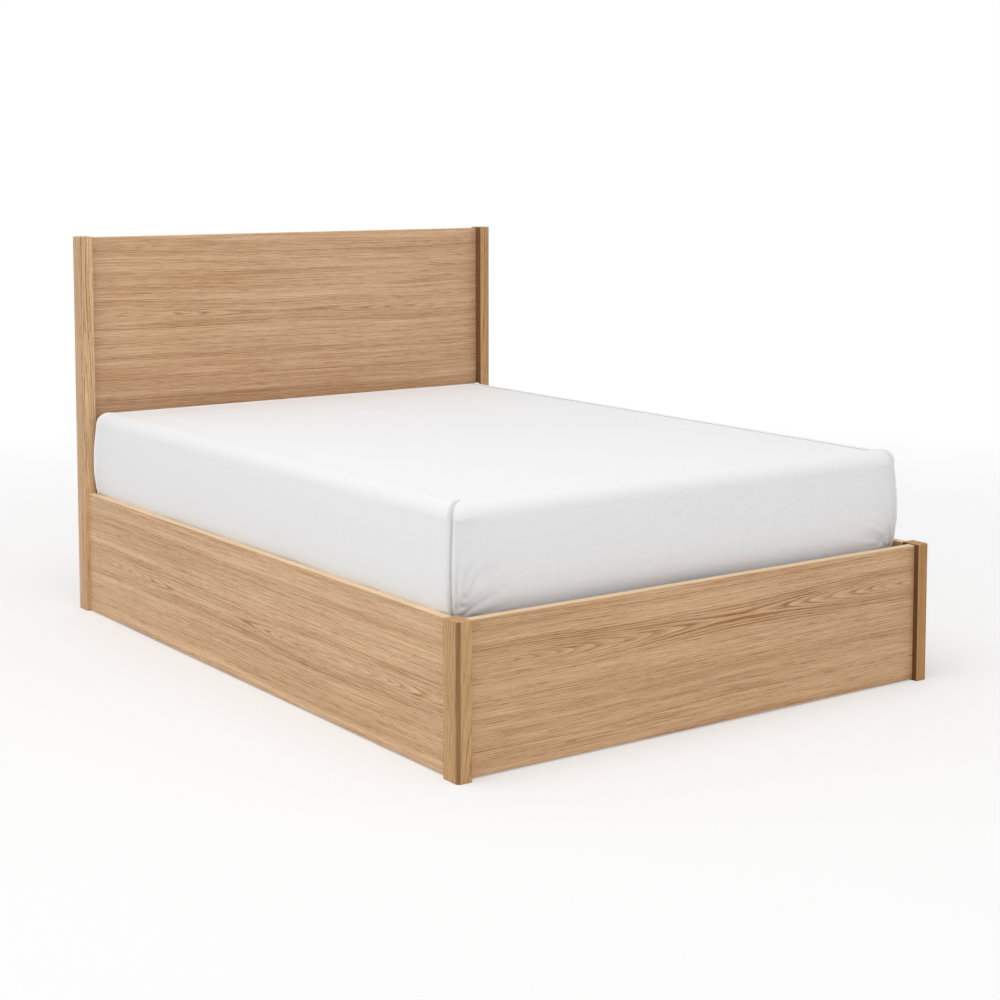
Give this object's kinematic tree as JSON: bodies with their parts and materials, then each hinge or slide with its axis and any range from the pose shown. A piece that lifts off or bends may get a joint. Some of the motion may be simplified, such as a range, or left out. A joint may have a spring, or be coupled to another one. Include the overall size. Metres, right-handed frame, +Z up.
{
  "type": "ottoman bed",
  "caption": "Double ottoman bed with a panelled oak frame, a sprung-slat platform that lifts at the foot on gas-strut linkages, a mattress and a fitted sheet.",
  "frame": {"origin": "on the floor, under the middle of the bed's outer footprint", "axes": "+Y from the foot end to the head end, +Z up, +X to the right of someone standing at the foot and looking at the head"},
  "size_m": [1.45, 2, 1.102],
  "materials": {
    "oak_solid": "satin oiled oak, solid",
    "oak_veneer": "satin oak veneer",
    "softwood": "planed pine",
    "ply": "birch plywood, lacquered",
    "fibreboard": "smooth brown hardboard",
    "frame_steel": "silver grey powder coat",
    "lift_steel": "black powder coat",
    "zinc_steel": "zinc plated",
    "rod_chrome": "polished rod",
    "black_plastic": "moulded, fine texture",
    "rubber": "matte",
    "webbing": "woven webbing",
    "ticking": "knitted ticking",
    "sheet": "white cotton percale"
  },
  "bodies": {
    "bed_frame": {"headboard_panel": "oak_veneer", "head_post_left": "oak_solid", "head_post_right": "oak_solid", "foot_panel": "oak_veneer", "foot_post_left": "oak_solid", "foot_post_right": "oak_solid", "side_rail_left": "oak_veneer", "side_rail_right": "oak_veneer", "panel_dowels": "softwood", "corner_braces": "zinc_steel", "hanger_bolts": "zinc_steel", "floor_batten_left": "softwood", "floor_batten_right": "softwood", "cross_bearers": "softwood", "bearer_feet": "rubber", "base_boards": "fibreboard", "side_ledge_left": "softwood", "side_ledge_right": "softwood", "foot_ledge": "softwood", "head_ledge": "softwood", "rest_pads": "rubber", "lift_plate_left": "lift_steel", "lift_plate_right": "lift_steel", "fixed_pins_left": "zinc_steel", "fixed_pins_right": "zinc_steel"},
    "rear_arm_left": {"rear_arm_left": "lift_steel"},
    "rear_arm_right": {"rear_arm_right": "lift_steel"},
    "front_arm_left": {"front_arm_left": "lift_steel"},
    "front_arm_right": {"front_arm_right": "lift_steel"},
    "strut_tube_left": {"strut_tube_left": "lift_steel", "strut_foot_eye_left": "black_plastic"},
    "strut_tube_right": {"strut_tube_right": "lift_steel", "strut_foot_eye_right": "black_plastic"},
    "strut_rod_left": {"strut_rod_left": "rod_chrome", "strut_rod_eye_left": "black_plastic"},
    "strut_rod_right": {"strut_rod_right": "rod_chrome", "strut_rod_eye_right": "black_plastic"},
    "platform": {"platform_side_tube_left": "frame_steel", "platform_side_tube_right": "frame_steel", "platform_head_tube": "frame_steel", "platform_foot_tube": "frame_steel", "platform_centre_tube": "frame_steel", "platform_cross_tubes": "frame_steel", "slats_left": "ply", "slats_right": "ply", "side_slat_caps": "black_plastic", "middle_slat_caps": "black_plastic", "lift_bracket_left": "lift_steel", "lift_bracket_right": "lift_steel", "bracket_pins_left": "zinc_steel", "bracket_pins_right": "zinc_steel", "bracket_bolts": "zinc_steel", "tube_plugs": "black_plastic", "mattress_stops": "frame_steel", "lift_strap": "webbing", "mattress": "ticking", "fitted_sheet": "sheet"}
  },
  "joints": [
    {"name": "rear_arm_left_swing", "type": "hinge", "parent": "bed_frame", "child": "rear_arm_left", "pos_m": [-0.686, 0.548, 0.195], "axis": [1, 0, 0], "range_deg": [0, 78]},
    {"name": "front_arm_left_swing", "type": "hinge", "parent": "bed_frame", "child": "front_arm_left", "pos_m": [-0.676, 0.298, 0.067], "axis": [1, 0, 0], "range_deg": [0, 62.7]},
    {"name": "strut_left_swing", "type": "hinge", "parent": "bed_frame", "child": "strut_tube_left", "pos_m": [-0.657, 0.645, 0.048], "axis": [1, 0, 0], "range_deg": [0, 70.8]},
    {"name": "strut_left_stroke", "type": "slide", "parent": "strut_tube_left", "child": "strut_rod_left", "axis": [0, 0.8736, 0.4866], "range_m": [0, 0.078]},
    {"name": "rear_arm_right_swing", "type": "hinge", "parent": "bed_frame", "child": "rear_arm_right", "pos_m": [0.686, 0.548, 0.195], "axis": [1, 0, 0], "range_deg": [0, 78]},
    {"name": "front_arm_right_swing", "type": "hinge", "parent": "bed_frame", "child": "front_arm_right", "pos_m": [0.676, 0.298, 0.067], "axis": [1, 0, 0], "range_deg": [0, 62.7]},
    {"name": "strut_right_swing", "type": "hinge", "parent": "bed_frame", "child": "strut_tube_right", "pos_m": [0.657, 0.645, 0.048], "axis": [1, 0, 0], "range_deg": [0, 70.8]},
    {"name": "strut_right_stroke", "type": "slide", "parent": "strut_tube_right", "child": "strut_rod_right", "axis": [0, 0.8736, 0.4866], "range_m": [0, 0.078]},
    {"name": "platform_tilt", "type": "hinge", "parent": "rear_arm_left", "child": "platform", "pos_m": [-0.686, 0.85281, 0.25149], "axis": [-1, 0, 0], "range_deg": [0, 108]}
  ],
  "couplings": [
    {"joint": "rear_arm_right_swing", "follows": "rear_arm_left_swing", "ratio": 1},
    {"joint": "front_arm_left_swing", "follows": "rear_arm_left_swing", "ratio": 0.80385},
    {"joint": "front_arm_right_swing", "follows": "rear_arm_left_swing", "ratio": 0.80385},
    {"joint": "strut_left_swing", "follows": "rear_arm_left_swing", "ratio": 0.90769},
    {"joint": "strut_right_swing", "follows": "rear_arm_left_swing", "ratio": 0.90769},
    {"joint": "strut_left_stroke", "follows": "rear_arm_left_swing", "m_per_rad": 0.057296},
    {"joint": "strut_right_stroke", "follows": "rear_arm_left_swing", "m_per_rad": 0.057296},
    {"joint": "platform_tilt", "follows": "rear_arm_left_swing", "ratio": 1.3846}
  ]
}
